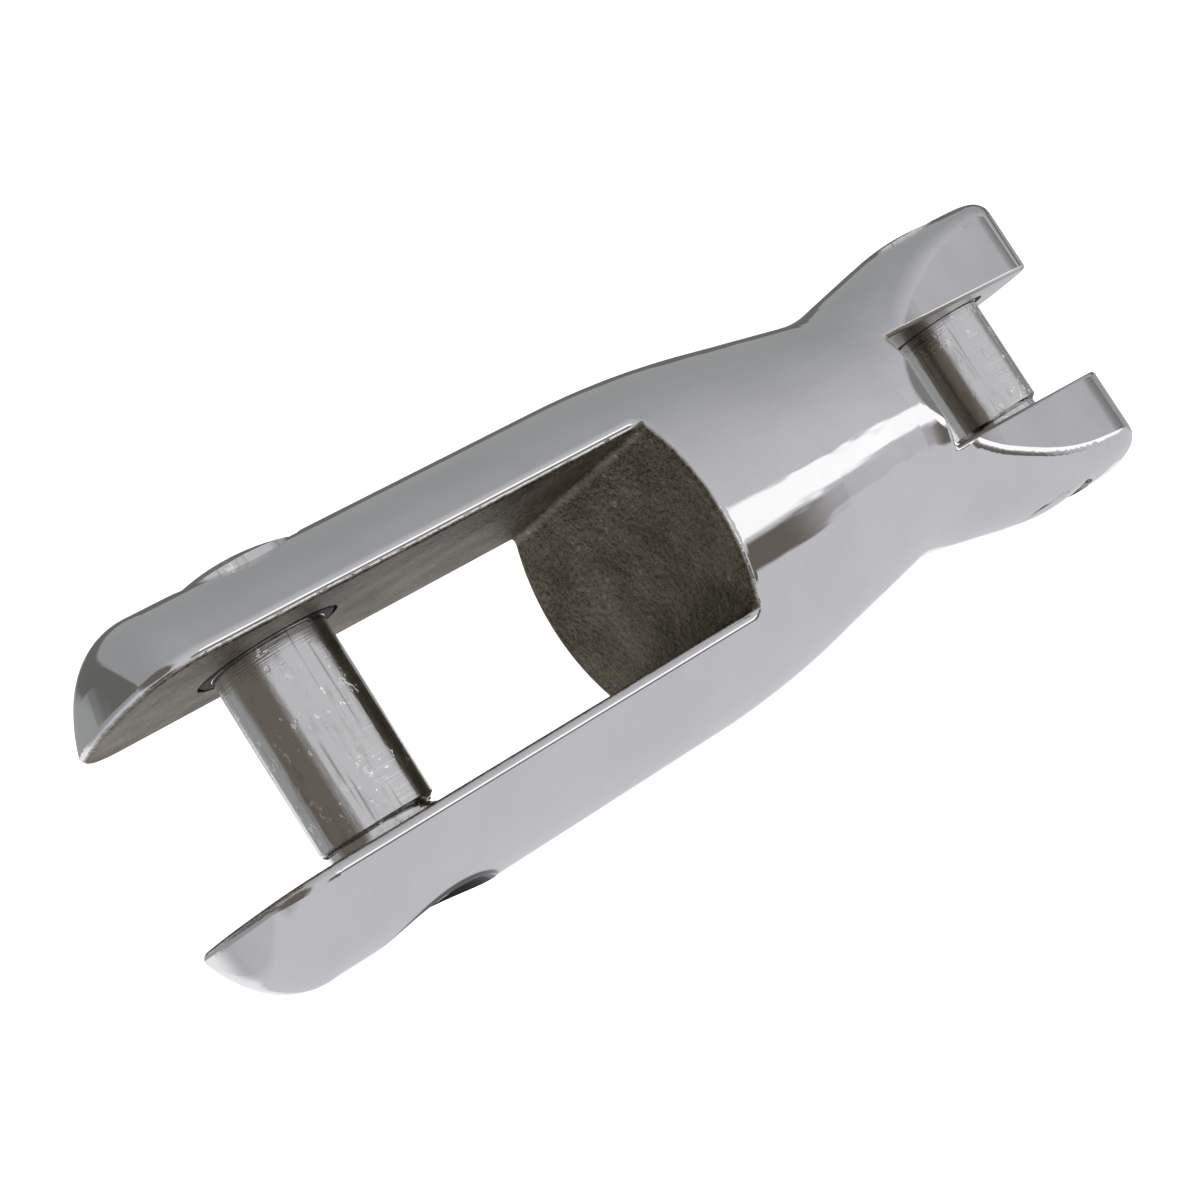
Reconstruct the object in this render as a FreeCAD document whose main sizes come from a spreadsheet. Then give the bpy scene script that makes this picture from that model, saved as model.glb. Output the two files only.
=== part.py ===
import FreeCAD, Part
import math
import os

import Sketcher

# An anchor connector link: a polished cast body with a fork at each end, and a
# screw pin across each fork. The wide fork takes an anchor's shank, the narrow
# one the last link of the chain.
#
# While it is drawn, X runs along the body from the wide fork to the narrow one
# and is 0 at the back wall of the wide jaw, the pins lie along Y with their
# heads on the +Y side, and Z is up from the body's axis. At the end the pieces
# are moved together to stand on Z = 0. All sizes are millimetres.

SIZES = {
    # turned form of the body
    "barrel_radius": 18.65,
    "nose_reach": 57.8,
    "nose_flat_radius": 7.0,
    "nose_drop": 2.75,
    "nose_corner_round": 5.4,
    "web_length": 34.9,
    "shoulder_length": 27.8,
    "shoulder_round": 110.0,
    "neck_setback": 0.8,
    "neck_radius": 14.2,
    "neck_round": 21.0,
    "flare_length": 16.2,
    "flare_round": 50.0,
    "flare_radius": 17.6,
    "ear_length": 29.85,
    # flanks that thin the narrow fork from above and below
    "flank_lead": 26.8,
    "flank_rise": 9.05,
    "flank_bend": 3.7,
    "flank_half_at_bend": 12.3,
    "flank_half_at_tip": 7.65,
    "flank_bend_round": 40.0,
    "tip_crown": 1.1,
    "tip_crown_round": 22.0,
    "tip_corner_round": 3.2,
    # jaws
    "wide_jaw": 20.65,
    "narrow_jaw": 13.35,
    "narrow_jaw_mouth": 13.9,
    "jaw_corner_round": 1.0,
    # large pin and its bores
    "large_pin_setback": 19.1,
    "large_pin_diameter": 12.0,
    "large_head_diameter": 14.9,
    "large_head_proud": 0.6,
    "large_tip_inset": 0.9,
    "large_head_dome": 1.35,
    "large_tip_dome": 0.6,
    "large_thread_start": 0.55,
    "large_socket_flats": 6.0,
    "large_socket_depth": 3.5,
    "spot_face_diameter": 16.8,
    "spot_face_depth": 0.75,
    # small pin and its bores
    "small_pin_setback": 11.4,
    "small_pin_diameter": 10.4,
    "small_head_diameter": 12.0,
    "small_pin_inset": 0.05,
    "small_end_dome": 0.75,
    "small_thread_start": 0.4,
    "small_socket_flats": 5.0,
    "small_socket_depth": 3.0,
    # details that both pins share
    "relief_depth": 0.5,
    "relief_width": 0.6,
    "pin_chamfer": 0.4,
    "head_clearance": 0.1,
    "thread_clearance": 0.05,
    "bore_mouth_depth": 1.0,
    # rounded edges
    "flank_edge_round": 2.2,
    "wide_rim_round": 0.75,
    "narrow_wall_round": 1.0,
    "narrow_rim_round": 0.45,
}

# How far a cutting outline runs past the metal that it cuts.
OVERRUN = 6.0
# How near to a wall an edge of it lies.
TOUCHING = 0.01

doc = FreeCAD.newDocument("AnchorConnectorLink")


def write_sheet():
    """Puts the driving sizes in the document's sheet, one alias to a row."""
    sheet = doc.addObject("Spreadsheet::Sheet", "Sizes")
    for row, (name, size) in enumerate(SIZES.items(), start=1):
        sheet.set(f"A{row}", name.replace("_", " "))
        sheet.set(f"B{row}", str(size))
        sheet.setAlias(f"B{row}", name)
    doc.recompute()
    return sheet


sheet = write_sheet()

# Places that several outlines share, as expressions of the sheet's sizes.
BARREL = "Sizes.barrel_radius"
WEB_END = "Sizes.web_length"
EAR_TIP = "(Sizes.web_length + Sizes.ear_length)"
WIDE_HALF = "(Sizes.wide_jaw / 2)"
NARROW_HALF = "(Sizes.narrow_jaw / 2)"
NARROW_MOUTH_HALF = "(Sizes.narrow_jaw_mouth / 2)"
LARGE_PIN_STATION = "(Sizes.large_pin_setback - Sizes.nose_reach)"
SMALL_PIN_STATION = f"({EAR_TIP} - Sizes.small_pin_setback)"


def value(expression):
    """Works out an expression of the sheet's sizes."""
    return float(sheet.evalExpression(str(expression)))


def add_sketch(body, name, plane):
    """Adds a sketch on one of the body's own origin planes."""
    sketch = body.newObject("Sketcher::SketchObject", name)
    support = next(item for item in body.Origin.OriginFeatures if item.Role == plane)
    sketch.AttachmentSupport = [(support, "")]
    sketch.MapMode = "FlatFace"
    return sketch


def bind(sketch, constraint, expression):
    """Adds a dimension to a sketch and binds it to an expression."""
    index = sketch.addConstraint(constraint)
    name = f"size_{index}"
    sketch.renameConstraint(index, name)
    sketch.setExpression(f"Constraints.{name}", str(expression))


def bind_point(sketch, geometry, position, across, up):
    """Holds one point of a sketch at its two distances from the origin."""
    place = (value(across), value(up))
    bind(sketch, Sketcher.Constraint("DistanceX", -1, 1, geometry, position, place[0]), across)
    bind(sketch, Sketcher.Constraint("DistanceY", -1, 1, geometry, position, place[1]), up)


def arc_between(centre, start, end, clockwise):
    """Makes the arc from start to end, and tells which end of it is which."""
    radius = (start - centre).Length
    first, last = (end, start) if clockwise else (start, end)
    angles = [math.atan2(point.y - centre.y, point.x - centre.x) for point in (first, last)]
    if angles[1] < angles[0]:
        angles[1] += 2 * math.pi
    circle = Part.Circle(centre, FreeCAD.Vector(0, 0, 1), radius)
    arc = Part.ArcOfCircle(circle, angles[0], angles[1])
    ends = (2, 1) if clockwise else (1, 2)
    return arc, ends


def turns_clockwise(before, corner, after):
    """Tells whether a path through three points turns right at the middle one."""
    return (corner - before).cross(after - corner).z < 0


def draw_outline(sketch, corners):
    """Draws a closed outline in a sketch.

    Each corner is (across, up) with two more entries where they are needed:
    the radius that rounds the corner, and the radius that bows the leg from
    this corner to the next. A bowed leg turns left, or right if it is
    negative, and it has sharp corners. Every entry is an expression.
    """
    count = len(corners)
    corners = [tuple(corner) + (None,) * (4 - len(corner)) for corner in corners]
    places = [FreeCAD.Vector(value(across), value(up), 0) for across, up, _, _ in corners]
    arrivals = list(places)
    departures = list(places)
    for index, (_, _, rounding, _) in enumerate(corners):
        if rounding is None:
            continue
        back = (places[index - 1] - places[index]).normalize()
        ahead = (places[(index + 1) % count] - places[index]).normalize()
        setback = value(rounding) / math.tan(back.getAngle(ahead) / 2)
        arrivals[index] = places[index] + back * setback
        departures[index] = places[index] + ahead * setback

    legs = []
    for index, (_, _, _, bow) in enumerate(corners):
        start = departures[index]
        end = arrivals[(index + 1) % count]
        if bow is None:
            legs.append((sketch.addGeometry(Part.LineSegment(start, end)), (1, 2)))
            continue
        radius = abs(value(bow))
        clockwise = value(bow) < 0
        chord = end - start
        side = FreeCAD.Vector(-chord.y, chord.x, 0).normalize() * (-1 if clockwise else 1)
        rise = math.sqrt(radius ** 2 - (chord.Length / 2) ** 2)
        centre = start + chord * 0.5 + side * rise
        arc, ends = arc_between(centre, start, end, clockwise)
        leg = sketch.addGeometry(arc)
        bind(sketch, Sketcher.Constraint("Radius", leg, radius), f"abs({bow})")
        legs.append((leg, ends))

    for index, (across, up, rounding, _) in enumerate(corners):
        leg_in, ends_in = legs[index - 1]
        leg_out, ends_out = legs[index]
        if rounding is None:
            sketch.addConstraint(
                Sketcher.Constraint("Coincident", leg_in, ends_in[1], leg_out, ends_out[0])
            )
            bind_point(sketch, leg_out, ends_out[0], across, up)
            continue
        start, end = arrivals[index], departures[index]
        middle = (start + end) * 0.5
        inward = (middle - places[index]).normalize()
        radius = value(rounding)
        centre = middle + inward * math.sqrt(radius ** 2 - ((end - start).Length / 2) ** 2)
        clockwise = turns_clockwise(places[index - 1], places[index], places[(index + 1) % count])
        arc, ends = arc_between(centre, start, end, clockwise)
        round_arc = sketch.addGeometry(arc)
        sketch.addConstraint(
            Sketcher.Constraint("Tangent", leg_in, ends_in[1], round_arc, ends[0])
        )
        sketch.addConstraint(
            Sketcher.Constraint("Tangent", round_arc, ends[1], leg_out, ends_out[0])
        )
        bind(sketch, Sketcher.Constraint("Radius", round_arc, radius), rounding)
        corner = sketch.addGeometry(Part.Point(places[index]), True)
        sketch.addConstraint(Sketcher.Constraint("PointOnObject", corner, 1, leg_in))
        sketch.addConstraint(Sketcher.Constraint("PointOnObject", corner, 1, leg_out))
        bind_point(sketch, corner, 1, across, up)


def revolve(body, kind, name, sketch, axis):
    """Turns a sketch a whole turn about one of its own axes."""
    feature = body.newObject(kind, name)
    feature.Profile = sketch
    feature.ReferenceAxis = (sketch, [axis])
    feature.Angle = 360
    doc.recompute()
    return feature


def cut_through(body, name, sketch):
    """Cuts a sketch through the body, both ways from the sketch's plane."""
    pocket = body.newObject("PartDesign::Pocket", name)
    pocket.Profile = sketch
    pocket.SideType = "Symmetric"
    pocket.Type = "ThroughAll"
    doc.recompute()
    return pocket


def runs_along(face, direction):
    """Tells whether a face is made of straight lines along a direction."""
    low_u, high_u, low_v, high_v = face.ParameterRange
    for share_u in (0.1, 0.5, 0.9):
        for share_v in (0.1, 0.5, 0.9):
            spot_u = low_u + share_u * (high_u - low_u)
            spot_v = low_v + share_v * (high_v - low_v)
            if abs(face.normalAt(spot_u, spot_v).dot(direction)) > 1e-6:
                return False
    return True


def rim_edges(feature, direction, low_x, high_x):
    """Names the edges where a cut along a direction meets the other faces."""
    names = []
    for index, edge in enumerate(feature.Shape.Edges, start=1):
        faces = feature.Shape.ancestorsOfType(edge, Part.Face)
        if len(faces) != 2 or not low_x < edge.CenterOfGravity.x < high_x:
            continue
        if runs_along(faces[0], direction) != runs_along(faces[1], direction):
            names.append(f"Edge{index}")
    return names


def round_edges(body, name, names, size):
    """Rounds the named edges of the body's last feature."""
    base = body.Tip
    fillet = body.newObject("PartDesign::Fillet", name)
    fillet.Base = (base, names)
    fillet.setExpression("Radius", size)
    doc.recompute()
    return fillet


def make_bores(body, name, station, outline):
    """Turns a stepped bore through both arms of a fork."""
    sketch = add_sketch(body, f"{name}Outline", "XY_Plane")
    sketch.setExpression("AttachmentOffset.Base.x", station)
    doc.recompute()
    draw_outline(sketch, outline)
    return revolve(body, "PartDesign::Groove", name, sketch, "V_Axis")


def make_link_body():
    """The forked body, one casting."""
    body = doc.addObject("PartDesign::Body", "link_body")
    nose = "-Sizes.nose_reach"
    profile = add_sketch(body, "TurnedProfile", "XY_Plane")
    draw_outline(profile, [
        (nose, "0"),
        (nose, "Sizes.nose_flat_radius"),
        (f"{nose} + Sizes.nose_drop", BARREL, "Sizes.nose_corner_round"),
        (f"{WEB_END} - Sizes.shoulder_length", BARREL, "Sizes.shoulder_round"),
        (f"{WEB_END} - Sizes.neck_setback", "Sizes.neck_radius", "Sizes.neck_round"),
        (f"{WEB_END} + Sizes.flare_length", "Sizes.flare_radius", "Sizes.flare_round"),
        (f"{EAR_TIP} + {OVERRUN}", "Sizes.flare_radius"),
        (f"{EAR_TIP} + {OVERRUN}", "0"),
    ])
    revolve(body, "PartDesign::Revolution", "TurnedForm", profile, "H_Axis")

    outside = f"{BARREL} + {OVERRUN}"
    past_tip = f"{EAR_TIP} + {OVERRUN}"
    lead = f"{WEB_END} - Sizes.flank_lead"
    lead_height = "Sizes.neck_radius + Sizes.flank_rise"
    bend = f"{WEB_END} + Sizes.flank_bend"
    corner = f"{EAR_TIP} - Sizes.tip_crown"
    flanks = add_sketch(body, "FlankOutline", "XZ_Plane")
    draw_outline(flanks, [
        (lead, outside),
        (lead, lead_height),
        (bend, "Sizes.flank_half_at_bend", "Sizes.flank_bend_round"),
        (corner, "Sizes.flank_half_at_tip", "Sizes.tip_corner_round"),
        (EAR_TIP, "0", "Sizes.tip_crown_round"),
        (corner, "-Sizes.flank_half_at_tip", "Sizes.tip_corner_round"),
        (bend, "-Sizes.flank_half_at_bend", "Sizes.flank_bend_round"),
        (lead, f"-({lead_height})"),
        (lead, f"-({outside})"),
        (past_tip, f"-({outside})"),
        (past_tip, outside),
    ])
    flank_cut = cut_through(body, "Flanks", flanks)
    across = FreeCAD.Vector(0, 1, 0)
    flank_edges = rim_edges(flank_cut, across, value(lead), value(past_tip))
    round_edges(body, "FlankEdges", flank_edges, "Sizes.flank_edge_round")

    wide = add_sketch(body, "WideJawOutline", "XY_Plane")
    past_nose = f"{nose} - {OVERRUN}"
    draw_outline(wide, [
        ("0", WIDE_HALF, "Sizes.jaw_corner_round"),
        (past_nose, WIDE_HALF),
        (past_nose, f"-{WIDE_HALF}"),
        ("0", f"-{WIDE_HALF}", "Sizes.jaw_corner_round"),
    ])
    wide_cut = cut_through(body, "WideJaw", wide)
    upright = FreeCAD.Vector(0, 0, 1)
    middle = value(WEB_END) / 2
    wide_edges = rim_edges(wide_cut, upright, value(past_nose), middle)
    round_edges(body, "WideJawRim", wide_edges, "Sizes.wide_rim_round")

    narrow = add_sketch(body, "NarrowJawOutline", "XY_Plane")
    draw_outline(narrow, [
        (WEB_END, f"-{NARROW_HALF}"),
        (EAR_TIP, f"-{NARROW_MOUTH_HALF}"),
        (past_tip, f"-{NARROW_MOUTH_HALF}"),
        (past_tip, NARROW_MOUTH_HALF),
        (EAR_TIP, NARROW_MOUTH_HALF),
        (WEB_END, NARROW_HALF),
    ])
    narrow_cut = cut_through(body, "NarrowJaw", narrow)
    wall = value(WEB_END)
    wall_edges = rim_edges(narrow_cut, upright, wall - TOUCHING, wall + TOUCHING)
    round_edges(body, "NarrowJawWallRim", wall_edges, "Sizes.narrow_wall_round")
    ear_edges = rim_edges(body, upright, wall - value("Sizes.narrow_wall_round"), value(past_tip))
    round_edges(body, "NarrowJawEarRim", ear_edges, "Sizes.narrow_rim_round")

    spot_floor = f"{BARREL} - Sizes.spot_face_depth"
    head_bore = "Sizes.large_head_diameter / 2 + Sizes.head_clearance"
    screw_bore = "Sizes.large_pin_diameter / 2 + Sizes.thread_clearance"
    mouth = f"-({BARREL} - Sizes.bore_mouth_depth)"
    make_bores(body, "LargeBores", LARGE_PIN_STATION, [
        ("0", outside),
        ("Sizes.spot_face_diameter / 2", outside),
        ("Sizes.spot_face_diameter / 2", spot_floor),
        (head_bore, spot_floor),
        (head_bore, "0"),
        (screw_bore, "0"),
        (screw_bore, mouth),
        (f"{screw_bore} + {OVERRUN}", f"{mouth} - {OVERRUN}"),
        ("0", f"{mouth} - {OVERRUN}"),
    ])
    small_head_bore = "Sizes.small_head_diameter / 2 + Sizes.head_clearance"
    small_screw_bore = "Sizes.small_pin_diameter / 2 + Sizes.thread_clearance"
    make_bores(body, "SmallBores", SMALL_PIN_STATION, [
        ("0", outside),
        (small_head_bore, outside),
        (small_head_bore, "0"),
        (small_screw_bore, "0"),
        (small_screw_bore, f"-({outside})"),
        ("0", f"-({outside})"),
    ])
    return body


def make_pin(name, head_top, shoulder, tip, sizes):
    """A screw pin with a wider head, which fills the bore of the upper arm.

    The head runs from its dome down to the shoulder, flush with the jaw's
    wall. The thread in the lower arm starts after a turned relief.
    """
    body = doc.addObject("PartDesign::Body", name)
    head = f"{sizes['head']} / 2"
    shank = f"{sizes['shank']} / 2"
    relief = f"{shank} - Sizes.relief_depth"
    thread_top = f"-({shoulder}) + {sizes['thread_start']}"
    relief_top = f"{thread_top} + Sizes.relief_width"
    head_dome = dome_radius(head, sizes["head_dome"])
    tip_dome = dome_radius(shank, sizes["tip_dome"])
    profile = add_sketch(body, f"{name}_profile", "XY_Plane")
    draw_outline(profile, [
        ("0", f"-({tip})", None, tip_dome),
        (shank, f"-({tip}) + {sizes['tip_dome']}"),
        (shank, thread_top),
        (relief, thread_top),
        (relief, relief_top),
        (shank, f"{relief_top} + Sizes.pin_chamfer"),
        (shank, shoulder),
        (f"{head} - Sizes.pin_chamfer", shoulder),
        (head, f"{shoulder} + Sizes.pin_chamfer"),
        (head, f"{head_top} - {sizes['head_dome']}", None, head_dome),
        ("0", head_top),
    ])
    turned = revolve(body, "PartDesign::Revolution", f"{name}_turned", profile, "V_Axis")

    socket = add_sketch(body, f"{name}_socket_outline", "XZ_Plane")
    floor = f"{head_top} - {sizes['socket_depth']}"
    socket.setExpression("AttachmentOffset.Base.z", f"-({floor})")
    doc.recompute()
    corner_reach = f"({sizes['socket_flats']} / sqrt(3))"
    draw_outline(socket, [
        (f"{corner_reach} * cos({60 * turn} deg)", f"{corner_reach} * sin({60 * turn} deg)")
        for turn in range(6)
    ])
    pocket = body.newObject("PartDesign::Pocket", f"{name}_socket")
    pocket.Profile = socket
    pocket.Type = "ThroughAll"
    doc.recompute()
    if pocket.Shape.Volume >= turned.Shape.Volume:
        raise RuntimeError(f"the socket of {name} cuts nothing")
    return body


def dome_radius(base_radius, rise):
    """The radius of an arc that rises over a round end, as an expression."""
    return f"((({base_radius}) ^ 2 + ({rise}) ^ 2) / (2 * {rise}))"


def make_large_pin():
    """The pin that carries the anchor's shank."""
    head_top = f"({BARREL} + Sizes.large_head_proud)"
    tip = f"({BARREL} - Sizes.large_tip_inset)"
    return make_pin("large_pin", head_top, WIDE_HALF, tip, {
        "head": "Sizes.large_head_diameter",
        "shank": "Sizes.large_pin_diameter",
        "head_dome": "Sizes.large_head_dome",
        "tip_dome": "Sizes.large_tip_dome",
        "thread_start": "Sizes.large_thread_start",
        "socket_flats": "Sizes.large_socket_flats",
        "socket_depth": "Sizes.large_socket_depth",
    })


def make_small_pin():
    """The pin that carries the chain's last link, ground flush with the ears."""
    reach = "(Sizes.flare_radius - Sizes.small_pin_inset)"
    return make_pin("small_pin", reach, NARROW_MOUTH_HALF, reach, {
        "head": "Sizes.small_head_diameter",
        "shank": "Sizes.small_pin_diameter",
        "head_dome": "Sizes.small_end_dome",
        "tip_dome": "Sizes.small_end_dome",
        "thread_start": "Sizes.small_thread_start",
        "socket_flats": "Sizes.small_socket_flats",
        "socket_depth": "Sizes.small_socket_depth",
    })


def place_pieces(body, pins):
    """Moves all pieces so that the body stands centred on the origin."""
    box = body.Shape.optimalBoundingBox(False, False)
    shift = FreeCAD.Vector(-(box.XMin + box.XMax) / 2, 0, -box.ZMin)
    body.Placement = FreeCAD.Placement(shift, FreeCAD.Rotation())
    for pin, station in pins:
        place = shift + FreeCAD.Vector(value(station), 0, 0)
        pin.Placement = FreeCAD.Placement(place, FreeCAD.Rotation())
    doc.recompute()


def check_document(pieces):
    """Stops if any object failed, or a piece's shape is missing or broken."""
    for item in doc.Objects:
        if "Invalid" in item.State or "Error" in item.State:
            raise RuntimeError(f"{item.Label} failed: {item.State}")
    for piece in pieces:
        if piece.Shape.isNull() or not piece.Shape.isValid() or len(piece.Shape.Solids) != 1:
            raise RuntimeError(f"{piece.Label} isn't one valid solid")


def export_pieces(pieces):
    """Writes each piece to a STEP file named after it."""
    os.makedirs("parts", exist_ok=True)
    for piece in pieces:
        piece.Shape.exportStep(f"parts/{piece.Label}.step")
        box = piece.Shape.optimalBoundingBox(False, False)
        print(f"{piece.Label}: {piece.Shape.Volume / 1000:.2f} cm3, {box}")


link_body = make_link_body()
large_pin = make_large_pin()
small_pin = make_small_pin()
place_pieces(link_body, [(large_pin, LARGE_PIN_STATION), (small_pin, SMALL_PIN_STATION)])
pieces = [link_body, large_pin, small_pin]
check_document(pieces)
export_pieces(pieces)
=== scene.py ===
"""Dresses the anchor connector link: its finishes, its threads and its studio."""
import logging
import math
from dataclasses import dataclass, field
from enum import Enum

import bmesh
import bpy
from mathutils import Matrix, Vector


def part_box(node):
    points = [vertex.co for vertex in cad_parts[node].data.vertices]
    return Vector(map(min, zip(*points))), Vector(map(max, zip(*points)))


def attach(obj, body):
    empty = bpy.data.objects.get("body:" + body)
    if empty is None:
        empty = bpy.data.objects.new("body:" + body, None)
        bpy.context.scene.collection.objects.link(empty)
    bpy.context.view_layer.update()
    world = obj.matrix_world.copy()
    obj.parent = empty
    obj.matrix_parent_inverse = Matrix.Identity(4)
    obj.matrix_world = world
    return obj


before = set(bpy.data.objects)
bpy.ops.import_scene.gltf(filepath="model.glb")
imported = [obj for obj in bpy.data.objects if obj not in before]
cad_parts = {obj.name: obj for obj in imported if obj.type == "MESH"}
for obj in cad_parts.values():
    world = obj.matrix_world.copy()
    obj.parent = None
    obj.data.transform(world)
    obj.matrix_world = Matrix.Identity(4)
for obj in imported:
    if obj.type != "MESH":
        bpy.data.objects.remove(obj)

logging.basicConfig(level=logging.INFO, format="%(message)s")
log = logging.getLogger("anchor_connector")

MM = 0.001
Colour = tuple[float, float, float]
Span = tuple[float, float]
Socket = bpy.types.NodeSocket


class Node(Enum):
    """The pieces that come from the frame."""

    LINK_BODY = "link_body"
    LARGE_PIN = "large_pin"
    SMALL_PIN = "small_pin"


class Effect(Enum):
    """The surface effects that several finishes share, as node groups."""

    SCRATCHES = "fine_scratches"
    GRAIN = "cast_grain"
    RIPPLE = "polish_ripple"
    PITS = "dents_and_pits"


def cad_node(node: Node) -> bpy.types.Object:
    """The frame's object for a piece."""
    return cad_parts[node.value]


@dataclass
class Bench:
    """Adds nodes to one node tree and joins them."""

    tree: bpy.types.NodeTree

    def add(self, kind: str, **settings: object) -> bpy.types.Node:
        """Adds a node and sets its properties.

        Args:
            kind: The node's type name.
            settings: Properties of the node, such as its operation.

        Returns:
            The new node.
        """
        node = self.tree.nodes.new(kind)
        for name, setting in settings.items():
            setattr(node, name, setting)
        return node

    def feed(self, socket: Socket, source: object) -> None:
        """Joins a socket to another one, or sets it to a plain value."""
        if isinstance(source, bpy.types.NodeSocket):
            self.tree.links.new(source, socket)
        else:
            socket.default_value = source

    def math(self, operation: str, first: object, second: object = 0.0, clamp: bool = False) -> Socket:
        """Works out one sum of two values or sockets."""
        node = self.add("ShaderNodeMath", operation=operation, use_clamp=clamp)
        self.feed(node.inputs[0], first)
        self.feed(node.inputs[1], second)
        return node.outputs[0]

    def span(
        self, source: object, low: float, high: float, to_low: float = 0.0, to_high: float = 1.0
    ) -> Socket:
        """Maps a value smoothly from one range to another, and holds it there."""
        node = self.add("ShaderNodeMapRange", interpolation_type="SMOOTHSTEP", clamp=True)
        for name, setting in zip(
            ("Value", "From Min", "From Max", "To Min", "To Max"), (source, low, high, to_low, to_high)
        ):
            self.feed(node.inputs[name], setting)
        return node.outputs["Result"]

    def mix(self, share: object, first: object, second: object) -> Socket:
        """Mixes two colours by a share from 0 to 1."""
        node = self.add("ShaderNodeMix", data_type="RGBA", clamp_factor=True)
        self.feed(node.inputs[0], share)
        self.feed(node.inputs[6], first)
        self.feed(node.inputs[7], second)
        return node.outputs[2]

    def blend(self, share: object, first: object, second: object) -> Socket:
        """Mixes two values by a share from 0 to 1."""
        node = self.add("ShaderNodeMix", data_type="FLOAT", clamp_factor=True)
        self.feed(node.inputs[0], share)
        self.feed(node.inputs[2], first)
        self.feed(node.inputs[3], second)
        return node.outputs[0]

    def noise(self, place: Socket, scale: object, detail: float = 2.0, roughness: float = 0.5) -> Socket:
        """Gives a soft noise from 0 to 1 at a place."""
        node = self.add("ShaderNodeTexNoise", noise_dimensions="3D")
        self.feed(node.inputs["Vector"], place)
        self.feed(node.inputs["Scale"], scale)
        self.feed(node.inputs["Detail"], detail)
        self.feed(node.inputs["Roughness"], roughness)
        return node.outputs["Fac"]

    def stretched(self, place: Socket, stretch: Colour, turn: Colour = (0.0, 0.0, 0.0)) -> Socket:
        """Scales and turns a place, so that a pattern runs one way."""
        node = self.add("ShaderNodeMapping", vector_type="POINT")
        self.feed(node.inputs["Vector"], place)
        self.feed(node.inputs["Rotation"], turn)
        self.feed(node.inputs["Scale"], stretch)
        return node.outputs["Vector"]

    def parts(self, place: Socket) -> tuple[Socket, Socket, Socket]:
        """Splits a place into its X, Y and Z."""
        node = self.add("ShaderNodeSeparateXYZ")
        self.feed(node.inputs[0], place)
        return node.outputs[0], node.outputs[1], node.outputs[2]

    def off_axis(self, place: Socket, station: float, height: float) -> Socket:
        """Gives the distance from an axis that runs along Y.

        Args:
            place: The place to measure from.
            station: The axis's X.
            height: The axis's Z.

        Returns:
            The distance.
        """
        along, _, up = self.parts(place)
        off_station = self.math("SUBTRACT", along, station)
        off_height = self.math("SUBTRACT", up, height)
        station_square = self.math("MULTIPLY", off_station, off_station)
        height_square = self.math("MULTIPLY", off_height, off_height)
        return self.math("SQRT", self.math("ADD", station_square, height_square))

    def bump(self, height: Socket, distance: float, normal: Socket | None = None) -> Socket:
        """Turns a height into a bumped normal."""
        node = self.add("ShaderNodeBump")
        node.inputs["Strength"].default_value = 1.0
        node.inputs["Distance"].default_value = distance
        self.feed(node.inputs["Height"], height)
        if normal is not None:
            self.feed(node.inputs["Normal"], normal)
        return node.outputs["Normal"]

    def effect(self, effect: Effect, place: Socket, **settings: object) -> Socket:
        """Places a shared effect and gives its mask."""
        node = self.add("ShaderNodeGroup", node_tree=EffectLibrary.group(effect))
        self.feed(node.inputs["Place"], place)
        for name, setting in settings.items():
            self.feed(node.inputs[name.replace("_", " ").capitalize()], setting)
        return node.outputs["Mask"]


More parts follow.
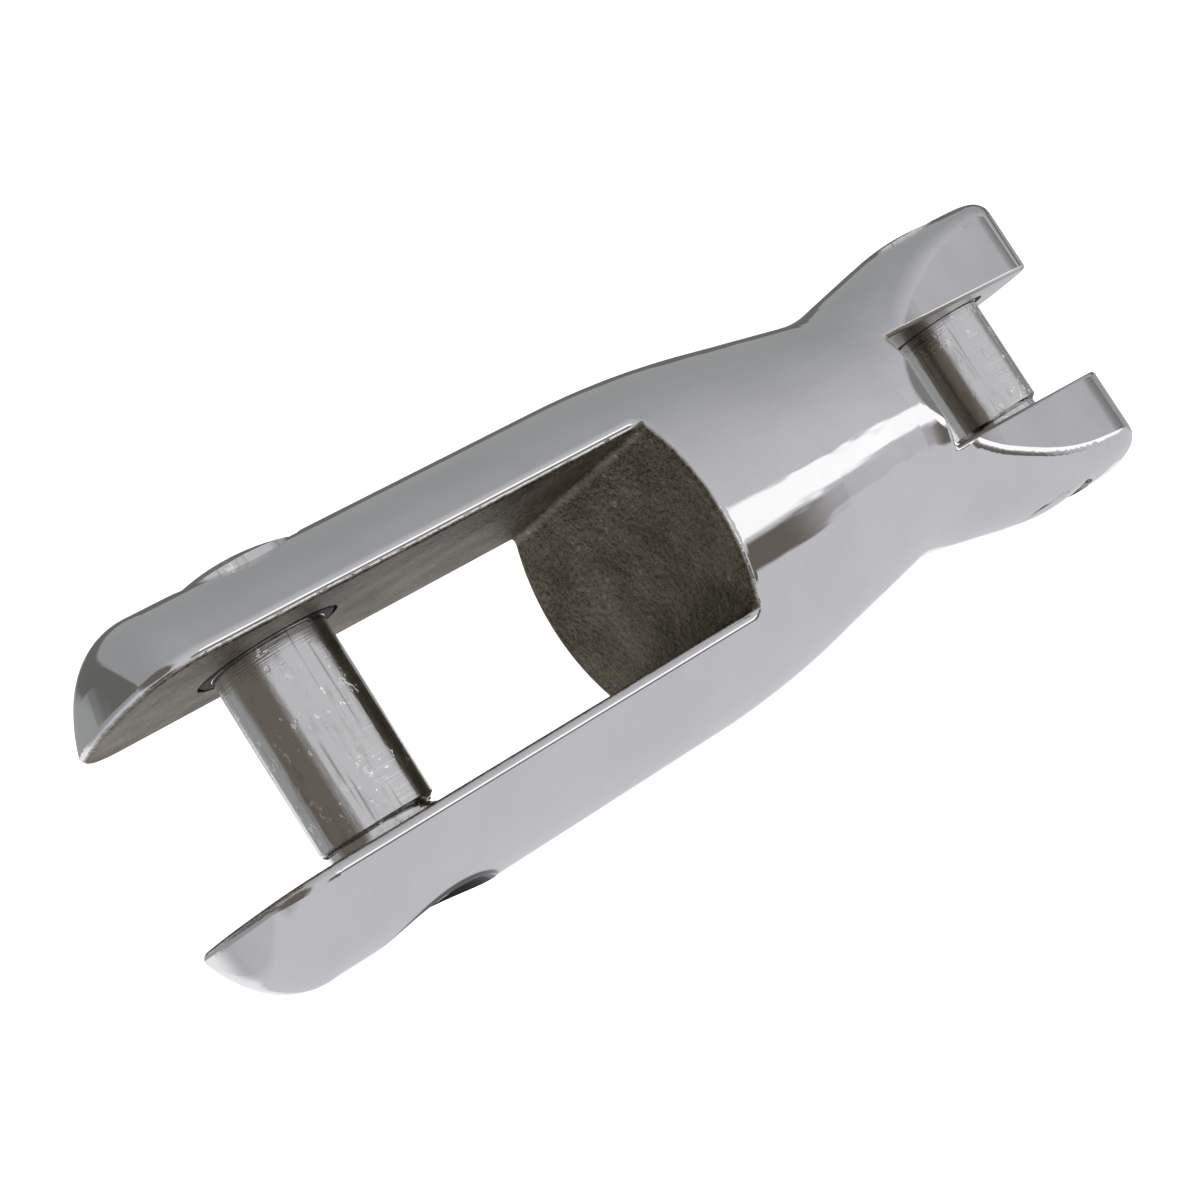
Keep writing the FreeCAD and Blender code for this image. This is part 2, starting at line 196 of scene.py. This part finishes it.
class EffectLibrary:
    """Builds each shared effect once."""

    made: dict[Effect, bpy.types.NodeTree] = {}

    @classmethod
    def group(cls, effect: Effect) -> bpy.types.NodeTree:
        """The node group of an effect."""
        if effect not in cls.made:
            makers = {
                Effect.SCRATCHES: cls.scratches,
                Effect.GRAIN: cls.grain,
                Effect.RIPPLE: cls.ripple,
                Effect.PITS: cls.pits,
            }
            tree = bpy.data.node_groups.new(effect.value, "ShaderNodeTree")
            tree.interface.new_socket("Place", in_out="INPUT", socket_type="NodeSocketVector")
            tree.interface.new_socket("Scale", in_out="INPUT", socket_type="NodeSocketFloat")
            tree.interface.new_socket("Mask", in_out="OUTPUT", socket_type="NodeSocketFloat")
            bench = Bench(tree)
            source = bench.add("NodeGroupInput")
            target = bench.add("NodeGroupOutput")
            mask = makers[effect](bench, source.outputs["Place"], source.outputs["Scale"])
            tree.links.new(mask, target.inputs["Mask"])
            cls.made[effect] = tree
        return cls.made[effect]

    @staticmethod
    def scratches(bench: Bench, place: Socket, scale: Socket) -> Socket:
        """Thin lines along X, broken up along their length."""
        fine = bench.noise(bench.stretched(place, (0.03, 1.0, 1.0)), scale, 1.0)
        coarse = bench.math("MULTIPLY", scale, 0.2)
        breaks = bench.noise(bench.stretched(place, (0.25, 1.0, 1.0)), coarse, 1.0)
        lines = bench.span(fine, 0.62, 0.74)
        return bench.math("MULTIPLY", lines, bench.span(breaks, 0.42, 0.6))

    @staticmethod
    def grain(bench: Bench, place: Socket, scale: Socket) -> Socket:
        """The lumpy grain that a sand mould leaves."""
        lumps = bench.noise(place, scale, 3.0, 0.65)
        fine = bench.noise(place, bench.math("MULTIPLY", scale, 3.1), 2.0)
        return bench.math("ADD", bench.math("MULTIPLY", lumps, 0.7), bench.math("MULTIPLY", fine, 0.3))

    @staticmethod
    def ripple(bench: Bench, place: Socket, scale: Socket) -> Socket:
        """The slight waves that hand polishing leaves."""
        return bench.noise(place, scale, 1.0, 0.4)

    @staticmethod
    def pits(bench: Bench, place: Socket, scale: Socket) -> Socket:
        """Scattered small dents, far apart."""
        cells = bench.add("ShaderNodeTexVoronoi", feature="F1", voronoi_dimensions="3D")
        bench.feed(cells.inputs["Vector"], place)
        bench.feed(cells.inputs["Scale"], scale)
        patches = bench.noise(place, bench.math("MULTIPLY", scale, 0.23), 1.0)
        dots = bench.span(cells.outputs["Distance"], 0.26, 0.12)
        return bench.math("MULTIPLY", dots, bench.span(patches, 0.5, 0.62))


@dataclass(frozen=True)
class Jaw:
    """The gap of one fork, in metres: its half width, its end wall and which way it opens."""

    half: float
    wall: float
    opens: float
    rim: float
    ragged_scale: float = 900.0
    raggedness: float = 0.03
    border: Span = (0.5, 0.12)

    def mask(self, bench: Bench, place: Socket) -> Socket:
        """Marks the jaw's own walls, up to the middle of their rounded rims."""
        along, across, _ = bench.parts(place)
        ragged = bench.noise(place, self.ragged_scale, 3.0)
        stray = self.raggedness * self.rim
        edge = bench.span(ragged, 0.3, 0.7, -stray, stray)
        outer, inner = (share * self.rim for share in self.border)
        off_middle = bench.math("ADD", bench.math("ABSOLUTE", across), edge)
        between = bench.span(off_middle, self.half + outer, self.half + inner)
        past_wall = bench.math("MULTIPLY", bench.math("SUBTRACT", along, self.wall), self.opens)
        beyond = bench.span(bench.math("SUBTRACT", past_wall, edge), -outer, -inner)
        return bench.math("MULTIPLY", between, beyond)


@dataclass(frozen=True)
class BoreMouth:
    """The mouth of the large pin's lower bore, in metres, where the body is coloured near black as painted
    shade.
    """

    radius: float
    inner_end: float
    radial_fade: float = 0.4 * MM
    inner_fade: float = 0.5 * MM

    def mask(self, bench: Bench, place: Socket) -> Socket:
        """Marks the mouth, round the large pin's axis, for its painted shade."""
        (low_x, _, low_z), (high_x, _, high_z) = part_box(Node.LARGE_PIN.value)
        _, across, _ = bench.parts(place)
        radius = bench.off_axis(place, (low_x + high_x) / 2, (low_z + high_z) / 2)
        within = bench.span(radius, self.radius, self.radius - self.radial_fade)
        past_end = bench.span(across, self.inner_end, self.inner_end - self.inner_fade)
        return bench.math("MULTIPLY", within, past_end)


@dataclass(frozen=True)
class PolishedSteel:
    """Buffed stainless steel, with as-cast walls inside the wide jaw."""

    name: str = "polished_steel"
    bright: Colour = (0.76, 0.755, 0.765)
    cast_light: Colour = (0.40, 0.355, 0.275)
    cast_dark: Colour = (0.095, 0.08, 0.053)
    # painted shade: the narrow jaw's walls are coloured darker towards its end wall
    shaded_deep_end: Colour = (0.25, 0.22, 0.175)
    brushed_pale: Colour = (0.52, 0.52, 0.52)
    brushed_roughness: float = 0.32
    polish: float = 0.028
    cast_roughness: float = 0.52
    # painted shade inside the large pin's bore mouth, near black
    painted_shade: Colour = (0.03, 0.03, 0.027)
    speck: Colour = (0.55, 0.52, 0.48)
    speck_share: float = 0.5
    speck_scale: float = 700.0
    grain_scale: float = 2100.0
    grain_share: float = 0.7
    blotch_scale: float = 160.0
    rub_contrast: Span = (0.37, 0.66)
    cast_roughness_swing: float = 0.12
    haze_scale: float = 90.0
    hazed: float = 0.95
    hazed_polish: float = 1.9
    scratch_scale: float = 2600.0
    scratch_roughness: float = 0.06
    # how far from the end wall the painted shade of the narrow jaw fades out
    shade_fade_from_wall: Span = (6.0 * MM, 26.0 * MM)
    ripple_scale: float = 130.0
    ripple_height: float = 0.05 * MM
    strokes_start: Span = (0.0, 8.0 * MM)
    strokes_end: Span = (34.0 * MM, 22.0 * MM)
    stroke_stretch: Colour = (0.22, 1.0, 1.0)
    stroke_scale: float = 330.0
    stroke_height: float = 0.1 * MM
    ends_roll_from: float = 55.5 * MM
    ends_fall: float = 49.0
    lump_scale: float = 1000.0
    grain_relief: float = 0.45
    relief_height: float = 0.2 * MM

    def make(self, wide: Jaw, narrow: Jaw, mouth: BoreMouth) -> bpy.types.Material:
        """Builds the finish.

        Args:
            wide: The jaw whose walls are as cast.
            narrow: The jaw whose walls are brushed, and coloured darker towards its end wall as painted
                shade.
            mouth: The bore's mouth, which takes painted shade.

        Returns:
            The material.
        """
        material = bpy.data.materials.new(self.name)
        shader = principled(material)
        bench = Bench(material.node_tree)
        place = bench.add("ShaderNodeTexCoord").outputs["Object"]
        cast = wide.mask(bench, place)
        brushed_and_shaded = narrow.mask(bench, place)
        grain = bench.effect(Effect.GRAIN, place, scale=self.grain_scale)
        haze = bench.noise(place, self.haze_scale, 3.0, 0.6)

        polished_colour = self.polished_colour(bench, haze)
        # the narrow jaw's walls take painted shade here, darkest at their end wall
        outside = bench.mix(brushed_and_shaded, polished_colour, self.brushed_shaded_colour(bench, place, narrow))
        colour = bench.mix(cast, outside, self.cast_colour(bench, place, grain))
        # the bore's mouth is coloured near black: painted shade
        painted_shade = mouth.mask(bench, place)
        bench.feed(shader.inputs["Base Color"], bench.mix(painted_shade, colour, (*self.painted_shade, 1.0)))

        outside_roughness = bench.blend(brushed_and_shaded, self.polish_of(bench, place, haze), self.brushed_roughness)
        swing = self.cast_roughness_swing
        cast_roughness = bench.span(grain, 0.3, 0.7, self.cast_roughness - swing, self.cast_roughness + swing)
        bench.feed(shader.inputs["Roughness"], bench.blend(cast, outside_roughness, cast_roughness))

        bench.feed(shader.inputs["Normal"], self.normal(bench, place, grain, cast))
        shader.inputs["Metallic"].default_value = 1.0
        return material

    def cast_colour(self, bench: Bench, place: Socket, grain: Socket) -> Socket:
        """The mottled colour of the walls that stayed as cast."""
        blotches = bench.noise(place, self.blotch_scale, 3.0, 0.6)
        fine = bench.math("MULTIPLY", grain, self.grain_share)
        broad = bench.math("MULTIPLY", blotches, 1.0 - self.grain_share)
        rub = bench.span(bench.math("ADD", fine, broad), *self.rub_contrast)
        mottled = bench.mix(rub, (*self.cast_dark, 1.0), (*self.cast_light, 1.0))
        specks = bench.effect(Effect.PITS, place, scale=self.speck_scale)
        return bench.mix(bench.math("MULTIPLY", specks, self.speck_share), mottled, (*self.speck, 1.0))

    def polished_colour(self, bench: Bench, haze: Socket) -> Socket:
        """The colour of the polished outside, slightly duller where it is hazed."""
        dull = tuple(self.hazed * share for share in self.bright)
        return bench.mix(bench.span(haze, 0.35, 0.7), (*self.bright, 1.0), (*dull, 1.0))

    def brushed_shaded_colour(self, bench: Bench, place: Socket, narrow: Jaw) -> Socket:
        """The colour of the narrow jaw's walls: painted shade, darkest at the end wall and paler towards its
        mouth.
        """
        along, _, _ = bench.parts(place)
        deep_end, pale_end = (narrow.wall + reach for reach in self.shade_fade_from_wall)
        depth = bench.span(along, deep_end, pale_end)
        return bench.mix(depth, (*self.shaded_deep_end, 1.0), (*self.brushed_pale, 1.0))

    def polish_of(self, bench: Bench, place: Socket, haze: Socket) -> Socket:
        """The roughness of the polished outside, with its haze and scratches."""
        scratches = bench.effect(Effect.SCRATCHES, place, scale=self.scratch_scale)
        hazed = bench.span(haze, 0.3, 0.75, self.polish, self.polish * self.hazed_polish)
        return bench.math("ADD", hazed, bench.math("MULTIPLY", scratches, self.scratch_roughness))

    def normal(self, bench: Bench, place: Socket, grain: Socket, cast: Socket) -> Socket:
        """Adds the ripple, the neck's strokes, the rolled ear ends and the cast relief.

        Args:
            bench: Adds the nodes.
            place: The place on the body.
            grain: The cast grain.
            cast: Marks the walls that are as cast.

        Returns:
            The bumped normal.
        """
        along, _, _ = bench.parts(place)
        ripple = bench.effect(Effect.RIPPLE, place, scale=self.ripple_scale)
        rippled = bench.bump(ripple, self.ripple_height)
        neck = bench.math(
            "MULTIPLY", bench.span(along, *self.strokes_start), bench.span(along, *self.strokes_end)
        )
        strokes = bench.noise(bench.stretched(place, self.stroke_stretch), self.stroke_scale, 2.0, 0.5)
        stroked = bench.bump(bench.math("MULTIPLY", strokes, neck), self.stroke_height, rippled)
        roll = bench.math("MAXIMUM", bench.math("SUBTRACT", along, self.ends_roll_from), 0.0)
        fall = bench.math("MULTIPLY", bench.math("MULTIPLY", roll, roll), -self.ends_fall)
        rolled = bench.bump(fall, 1.0, stroked)
        lumps = bench.noise(place, self.lump_scale, 2.0, 0.6)
        coarse = bench.math("ADD", bench.math("MULTIPLY", grain, self.grain_relief), lumps)
        return bench.bump(bench.math("MULTIPLY", coarse, cast), self.relief_height, rolled)


@dataclass(frozen=True)
class PinForm:
    """One pin's own sizes and the thread that is cut into its lower end, in metres."""

    node: Node
    body: str
    shank: float
    shoulder: float
    thread_from: float
    pitch: float
    depth: float

    def axis(self) -> tuple[float, float]:
        """The pin's axis, as its X and Z."""
        low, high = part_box(self.node.value)
        return (low[0] + high[0]) / 2, (low[2] + high[2]) / 2

    def tip(self) -> float:
        """The Y of the pin's lower end."""
        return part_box(self.node.value)[0][1]


@dataclass(frozen=True)
class TurnedSteel:
    """Turned stainless steel, rubbed and scratched by use, with painted shade under its head."""

    name: str = "turned_steel"
    bright: Colour = (0.74, 0.735, 0.73)
    worn: Colour = (0.40, 0.37, 0.33)
    # painted shade under the pin's head, near black
    painted_shade: Colour = (0.024, 0.023, 0.02)
    # painted glints: the dents are coloured white, brighter than the steel round them
    painted_glint: Colour = (1.0, 1.0, 1.0)
    scratched: Colour = (0.22, 0.2, 0.17)
    roughness: float = 0.07
    scuffed_roughness: float = 0.16
    fleck_roughness: float = 0.3
    shoulder_shade_roughness: float = 0.6
    shade_off_shank: Span = (0.03 * MM, 0.12 * MM)
    shade_over_shoulder: Span = (0.4 * MM, 0.2 * MM)
    ring_stretch: Colour = (0.15, 6.0, 0.15)
    ring_scale: float = 900.0
    ring_relief: float = 0.25
    scuff_stretch: Colour = (1.0, 0.25, 1.0)
    scuff_scale: float = 800.0
    scuff_relief: float = 0.6
    fleck_stretch: Colour = (1.0, 0.7, 1.0)
    fleck_scale: float = 1300.0
    fleck_patch_scale: float = 260.0
    fleck_relief: float = 0.3
    worn_share: float = 0.5
    scratch_scale: float = 2200.0
    scratch_share: float = 0.55
    relief_height: float = 0.05 * MM

    def make(self, form: PinForm) -> bpy.types.Material:
        """Builds the finish.

        Args:
            form: The pin's sizes, which say where painted shade lies under its head.

        Returns:
            The material.
        """
        material = bpy.data.materials.new(f"{self.name}_of_{form.node.value}")
        shader = principled(material)
        bench = Bench(material.node_tree)
        place = bench.add("ShaderNodeTexCoord").outputs["Object"]
        painted_shade = self.shoulder_shade_mask(bench, place, form)
        rings = bench.noise(bench.stretched(place, self.ring_stretch), self.ring_scale, 2.0)
        scuffs = bench.noise(bench.stretched(place, self.scuff_stretch), self.scuff_scale, 4.0, 0.65)
        dents_and_glints = self.dent_and_glint_mask(bench, place)

        wear = bench.math("MULTIPLY", bench.span(scuffs, 0.5, 0.72), self.worn_share)
        colour = bench.mix(wear, (*self.bright, 1.0), (*self.worn, 1.0))
        along_pin = bench.stretched(place, (1.0, 1.0, 1.0), (0.0, 0.0, math.pi / 2))
        scratches = bench.effect(Effect.SCRATCHES, along_pin, scale=self.scratch_scale)
        scratched = bench.math("MULTIPLY", scratches, self.scratch_share)
        colour = bench.mix(scratched, colour, (*self.scratched, 1.0))
        # the dents are coloured white here as painted glints
        colour = bench.mix(dents_and_glints, colour, (*self.painted_glint, 1.0))
        # the underside of the head is coloured near black: painted shade
        bench.feed(shader.inputs["Base Color"], bench.mix(painted_shade, colour, (*self.painted_shade, 1.0)))

        rough = bench.span(scuffs, 0.3, 0.75, self.roughness, self.roughness + self.scuffed_roughness)
        rough = bench.blend(dents_and_glints, rough, self.fleck_roughness)
        bench.feed(shader.inputs["Roughness"], bench.blend(painted_shade, rough, self.shoulder_shade_roughness))

        turned = bench.math("MULTIPLY", rings, self.ring_relief)
        relief = bench.math("ADD", turned, bench.math("MULTIPLY", scuffs, self.scuff_relief))
        relief = bench.math("SUBTRACT", relief, bench.math("MULTIPLY", dents_and_glints, self.fleck_relief))
        bench.feed(shader.inputs["Normal"], bench.bump(relief, self.relief_height))
        shader.inputs["Metallic"].default_value = 1.0
        return material

    def shoulder_shade_mask(self, bench: Bench, place: Socket, form: PinForm) -> Socket:
        """Marks the underside of the pin's head, where shade is painted."""
        _, across, _ = bench.parts(place)
        off_shank = (form.shank + reach for reach in self.shade_off_shank)
        over_shoulder = (form.shoulder + rise for rise in self.shade_over_shoulder)
        outside = bench.span(bench.off_axis(place, *form.axis()), *off_shank)
        return bench.math("MULTIPLY", outside, bench.span(across, *over_shoulder))

    def dent_and_glint_mask(self, bench: Bench, place: Socket) -> Socket:
        """Marks small dents, gathered in patches, which take painted glints."""
        spots = bench.noise(bench.stretched(place, self.fleck_stretch), self.fleck_scale, 2.0, 0.6)
        patches = bench.noise(place, self.fleck_patch_scale, 1.0)
        return bench.math("MULTIPLY", bench.span(spots, 0.6, 0.66), bench.span(patches, 0.46, 0.58))


def principled(material: bpy.types.Material) -> bpy.types.Node:
    """Clears a material's nodes and gives it one Principled BSDF.

    Args:
        material: The material to start afresh.

    Returns:
        The Principled BSDF, joined to the material's output.
    """
    material.use_nodes = True
    nodes = material.node_tree.nodes
    nodes.clear()
    output = nodes.new("ShaderNodeOutputMaterial")
    shader = nodes.new("ShaderNodeBsdfPrincipled")
    material.node_tree.links.new(shader.outputs["BSDF"], output.inputs["Surface"])
    return shader


class Tone(Enum):
    """How much light a surface of the studio gives, as red, green and blue."""

    LAMP = (1.3, 1.3, 1.3)
    WHITE = (0.95, 0.95, 0.97)
    PALE = (0.65, 0.65, 0.68)
    GREY = (0.35, 0.36, 0.36)
    DARK = (0.15, 0.15, 0.14)
    WARM_DARK = (0.16, 0.14, 0.12)


@dataclass(frozen=True)
class Card:
    """One lamp, card or curtain, by its angles about the long axis and its reach along it."""

    tone: Tone
    from_angle: float
    to_angle: float
    from_along: float
    to_along: float
    soft: float = 4.0


@dataclass
class Studio:
    """The floor, the soft surroundings and the camera at the photograph's viewing angle."""

    camera_back: float = 80.353 * MM
    camera_side: float = -17.548 * MM
    camera_height: float = 220.189 * MM
    camera_right: Colour = (0.725416, -0.535367, 0.432613)
    camera_up: Colour = (0.416984, 0.841866, 0.342616)
    lens_over_width: float = 2423.0 / 1200.0
    sensor_width: float = 36.0
    low_wall: Tone = Tone.GREY
    high_wall: Tone = Tone.PALE
    cards: tuple[Card, ...] = (
        Card(tone=Tone.WHITE, from_angle=-105, to_angle=-85, from_along=-0.2, to_along=0.8),
        Card(tone=Tone.DARK, from_angle=-72, to_angle=-56, from_along=-0.9, to_along=1.2),
        Card(tone=Tone.LAMP, from_angle=92, to_angle=114, from_along=0.1, to_along=1.2),
        Card(tone=Tone.WARM_DARK, from_angle=118, to_angle=136, from_along=-0.2, to_along=0.8),
        Card(tone=Tone.WARM_DARK, from_angle=-200, to_angle=200, from_along=-1.2, to_along=-0.8),
        Card(tone=Tone.DARK, from_angle=40, to_angle=90, from_along=0.95, to_along=1.3),
    )
    along_soft: float = 0.2
    sway: float = 7.0
    sway_stretch: Colour = (2.5, 7.0, 7.0)
    front_brightens: Span = (-40.0, 100.0)
    under_brightens: Span = (-85.0, -110.0)
    floor_size: float = 6.0

    def build(self) -> None:
        """Sets up everything round the object."""
        bpy.context.scene.view_settings.view_transform = "Standard"
        self.add_camera()
        self.add_floor()
        self.add_surroundings()

    def add_camera(self) -> None:
        """Puts the camera where the photograph was taken from."""
        data = bpy.data.cameras.new("camera")
        data.sensor_fit = "HORIZONTAL"
        data.sensor_width = self.sensor_width
        data.lens = self.sensor_width * self.lens_over_width
        data.clip_start = 0.01
        data.clip_end = 20.0
        camera = bpy.data.objects.new("camera", data)
        bpy.context.scene.collection.objects.link(camera)
        right = Vector(self.camera_right).normalized()
        up = Vector(self.camera_up).normalized()
        back = right.cross(up).normalized()
        turn = Matrix((right, up, back)).transposed().to_4x4()
        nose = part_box(Node.LINK_BODY.value)[0][0]
        place = Vector((nose - self.camera_back, self.camera_side, self.camera_height))
        camera.matrix_world = Matrix.Translation(place) @ turn
        bpy.context.scene.camera = camera

    def add_floor(self) -> None:
        """Lays a plain white floor under the object, which the polished steel doesn't mirror."""
        mesh = bpy.data.meshes.new("floor")
        shape = bmesh.new()
        bmesh.ops.create_grid(shape, x_segments=1, y_segments=1, size=self.floor_size)
        shape.to_mesh(mesh)
        shape.free()
        floor = bpy.data.objects.new("floor", mesh)
        bpy.context.scene.collection.objects.link(floor)
        material = bpy.data.materials.new("white_floor")
        shader = principled(material)
        shader.inputs["Base Color"].default_value = (0.9, 0.9, 0.9, 1.0)
        shader.inputs["Roughness"].default_value = 1.0
        shader.inputs["Emission Color"].default_value = (1.0, 1.0, 1.0, 1.0)
        shader.inputs["Emission Strength"].default_value = 1.0
        mesh.materials.append(material)
        floor.visible_glossy = False
        floor.visible_diffuse = False

    def band(self, bench: Bench, source: Socket, low: float, high: float, soft: float) -> Socket:
        """Marks the part of a value that lies between two soft edges.

        Args:
            bench: Adds the nodes.
            source: The value.
            low: The lower edge.
            high: The upper edge.
            soft: How wide each edge is.

        Returns:
            A mask from 0 to 1.
        """
        above = bench.span(source, low - soft / 2, low + soft / 2)
        below = bench.span(source, high + soft / 2, high - soft / 2)
        return bench.math("MULTIPLY", above, below)

    def add_surroundings(self) -> None:
        """Sets the soft grey room and its cards that the steel mirrors, white to the camera."""
        world = bpy.data.worlds.new("studio")
        bpy.context.scene.world = world
        world.use_nodes = True
        bench = Bench(world.node_tree)
        way = bench.add("ShaderNodeTexCoord").outputs["Generated"]
        along, across, up = bench.parts(way)
        angle = bench.math("DEGREES", bench.math("ARCTAN2", up, across))
        drift = bench.noise(bench.stretched(way, self.sway_stretch), 1.0, 2.0)
        swayed = bench.math("MULTIPLY", bench.math("SUBTRACT", drift, 0.5), self.sway)
        angle = bench.math("ADD", angle, swayed)
        front = bench.span(angle, *self.front_brightens)
        under = bench.span(angle, *self.under_brightens)
        pale = bench.math("MAXIMUM", front, under)
        room = bench.mix(pale, (*self.low_wall.value, 1.0), (*self.high_wall.value, 1.0))
        for card in self.cards:
            round_axis = self.band(bench, angle, card.from_angle, card.to_angle, card.soft)
            reach = self.band(bench, along, card.from_along, card.to_along, self.along_soft)
            share = bench.math("MULTIPLY", round_axis, reach)
            room = bench.mix(share, room, (*card.tone.value, 1.0))
        seen = bench.add("ShaderNodeLightPath").outputs["Is Camera Ray"]
        light = bench.mix(seen, room, (1.0, 1.0, 1.0, 1.0))
        background = world.node_tree.nodes["Background"]
        bench.feed(background.inputs["Color"], light)
        background.inputs["Strength"].default_value = 1.0


@dataclass
class LinkBody:
    """The forked body, polished outside and as cast in its wide jaw."""

    wide: Jaw = Jaw(half=10.325 * MM, wall=-3.853 * MM, opens=-1.0, rim=0.75 * MM)
    narrow: Jaw = Jaw(half=6.95 * MM, wall=31.047 * MM, opens=1.0, rim=0.45 * MM)
    mouth: BoreMouth = BoreMouth(radius=7.3 * MM, inner_end=-16.0 * MM)
    finish: PolishedSteel = field(default_factory=PolishedSteel)

    def dress(self) -> None:
        """Gives the body its polished finish."""
        material = self.finish.make(self.wide, self.narrow, self.mouth)
        cad_node(Node.LINK_BODY).material_slots[0].material = material


@dataclass
class Thread:
    """The helical groove of a screw thread, which is cut into a pin from its tip up."""

    form: PinForm
    steps: int = 60
    fade_turns: float = 0.6
    clear: float = 0.3 * MM
    flank: float = math.tan(math.radians(30))
    weld: float = 0.001 * MM
    crisp_from: float = math.radians(25)

    def cutter(self) -> bpy.types.Object:
        """Makes the groove as a closed solid that is taken away from the pin."""
        form = self.form
        station, height = form.axis()
        turns = (form.thread_from - form.tip()) / form.pitch + 1.0
        outer = form.shank + self.clear
        half_width = (form.depth + self.clear) * self.flank
        mesh = bpy.data.meshes.new(f"{form.node.value}_groove")
        shape = bmesh.new()
        corners = [
            shape.verts.new((station, form.thread_from + rise, height - reach))
            for reach, rise in ((outer, half_width), (form.shank - form.depth, 0.0), (outer, -half_width))
        ]
        section = shape.faces.new(corners)
        bmesh.ops.spin(
            shape,
            geom=[section],
            cent=(station, 0.0, height),
            axis=(0.0, 1.0, 0.0),
            dvec=(0.0, -form.pitch / self.steps, 0.0),
            angle=math.tau * turns,
            steps=round(self.steps * turns),
        )
        for vert in shape.verts:
            turn = (form.thread_from - vert.co.y) / form.pitch
            if turn < self.fade_turns:
                off = Vector((vert.co.x - station, 0.0, vert.co.z - height))
                vert.co += off.normalized() * form.depth * (1.0 - max(turn, 0.0) / self.fade_turns)
        bmesh.ops.recalc_face_normals(shape, faces=shape.faces)
        shape.to_mesh(mesh)
        shape.free()
        groove = bpy.data.objects.new(f"{form.node.value}_groove", mesh)
        bpy.context.scene.collection.objects.link(groove)
        groove.hide_render = True
        groove.hide_viewport = True
        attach(groove, form.body)
        return groove

    def cut(self) -> None:
        """Cuts the thread with modifiers, so the pin's own mesh stays as it is."""
        pin = cad_node(self.form.node)
        pin.modifiers.new("closed_edges", "WELD").merge_threshold = self.weld
        cut = pin.modifiers.new("thread", "BOOLEAN")
        cut.operation = "DIFFERENCE"
        cut.solver = "EXACT"
        cut.object = self.cutter()
        edges = pin.modifiers.new("crisp_edges", "EDGE_SPLIT")
        edges.split_angle = self.crisp_from


@dataclass
class Pins:
    """The two screw pins, turned from bar."""

    finish: TurnedSteel = field(default_factory=TurnedSteel)
    forms: tuple[PinForm, ...] = (
        PinForm(
            node=Node.LARGE_PIN, body="large_screw_pin", shank=6.0 * MM, shoulder=10.325 * MM,
            thread_from=-8.3 * MM, pitch=1.75 * MM, depth=0.9 * MM,
        ),
        PinForm(
            node=Node.SMALL_PIN, body="small_screw_pin", shank=5.2 * MM, shoulder=6.95 * MM,
            thread_from=-5.9 * MM, pitch=1.5 * MM, depth=0.75 * MM,
        ),
    )

    def dress(self) -> None:
        """Gives both pins their turned finish and their threads."""
        for form in self.forms:
            cad_node(form.node).material_slots[0].material = self.finish.make(form)
            Thread(form).cut()


def main() -> None:
    """Builds the pieces in order and reports the body and the pins."""
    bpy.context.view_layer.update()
    LinkBody().dress()
    log.info("dressed the link body")
    Pins().dress()
    log.info("dressed the pins")
    Studio().build()


if __name__ == "__main__":
    main()
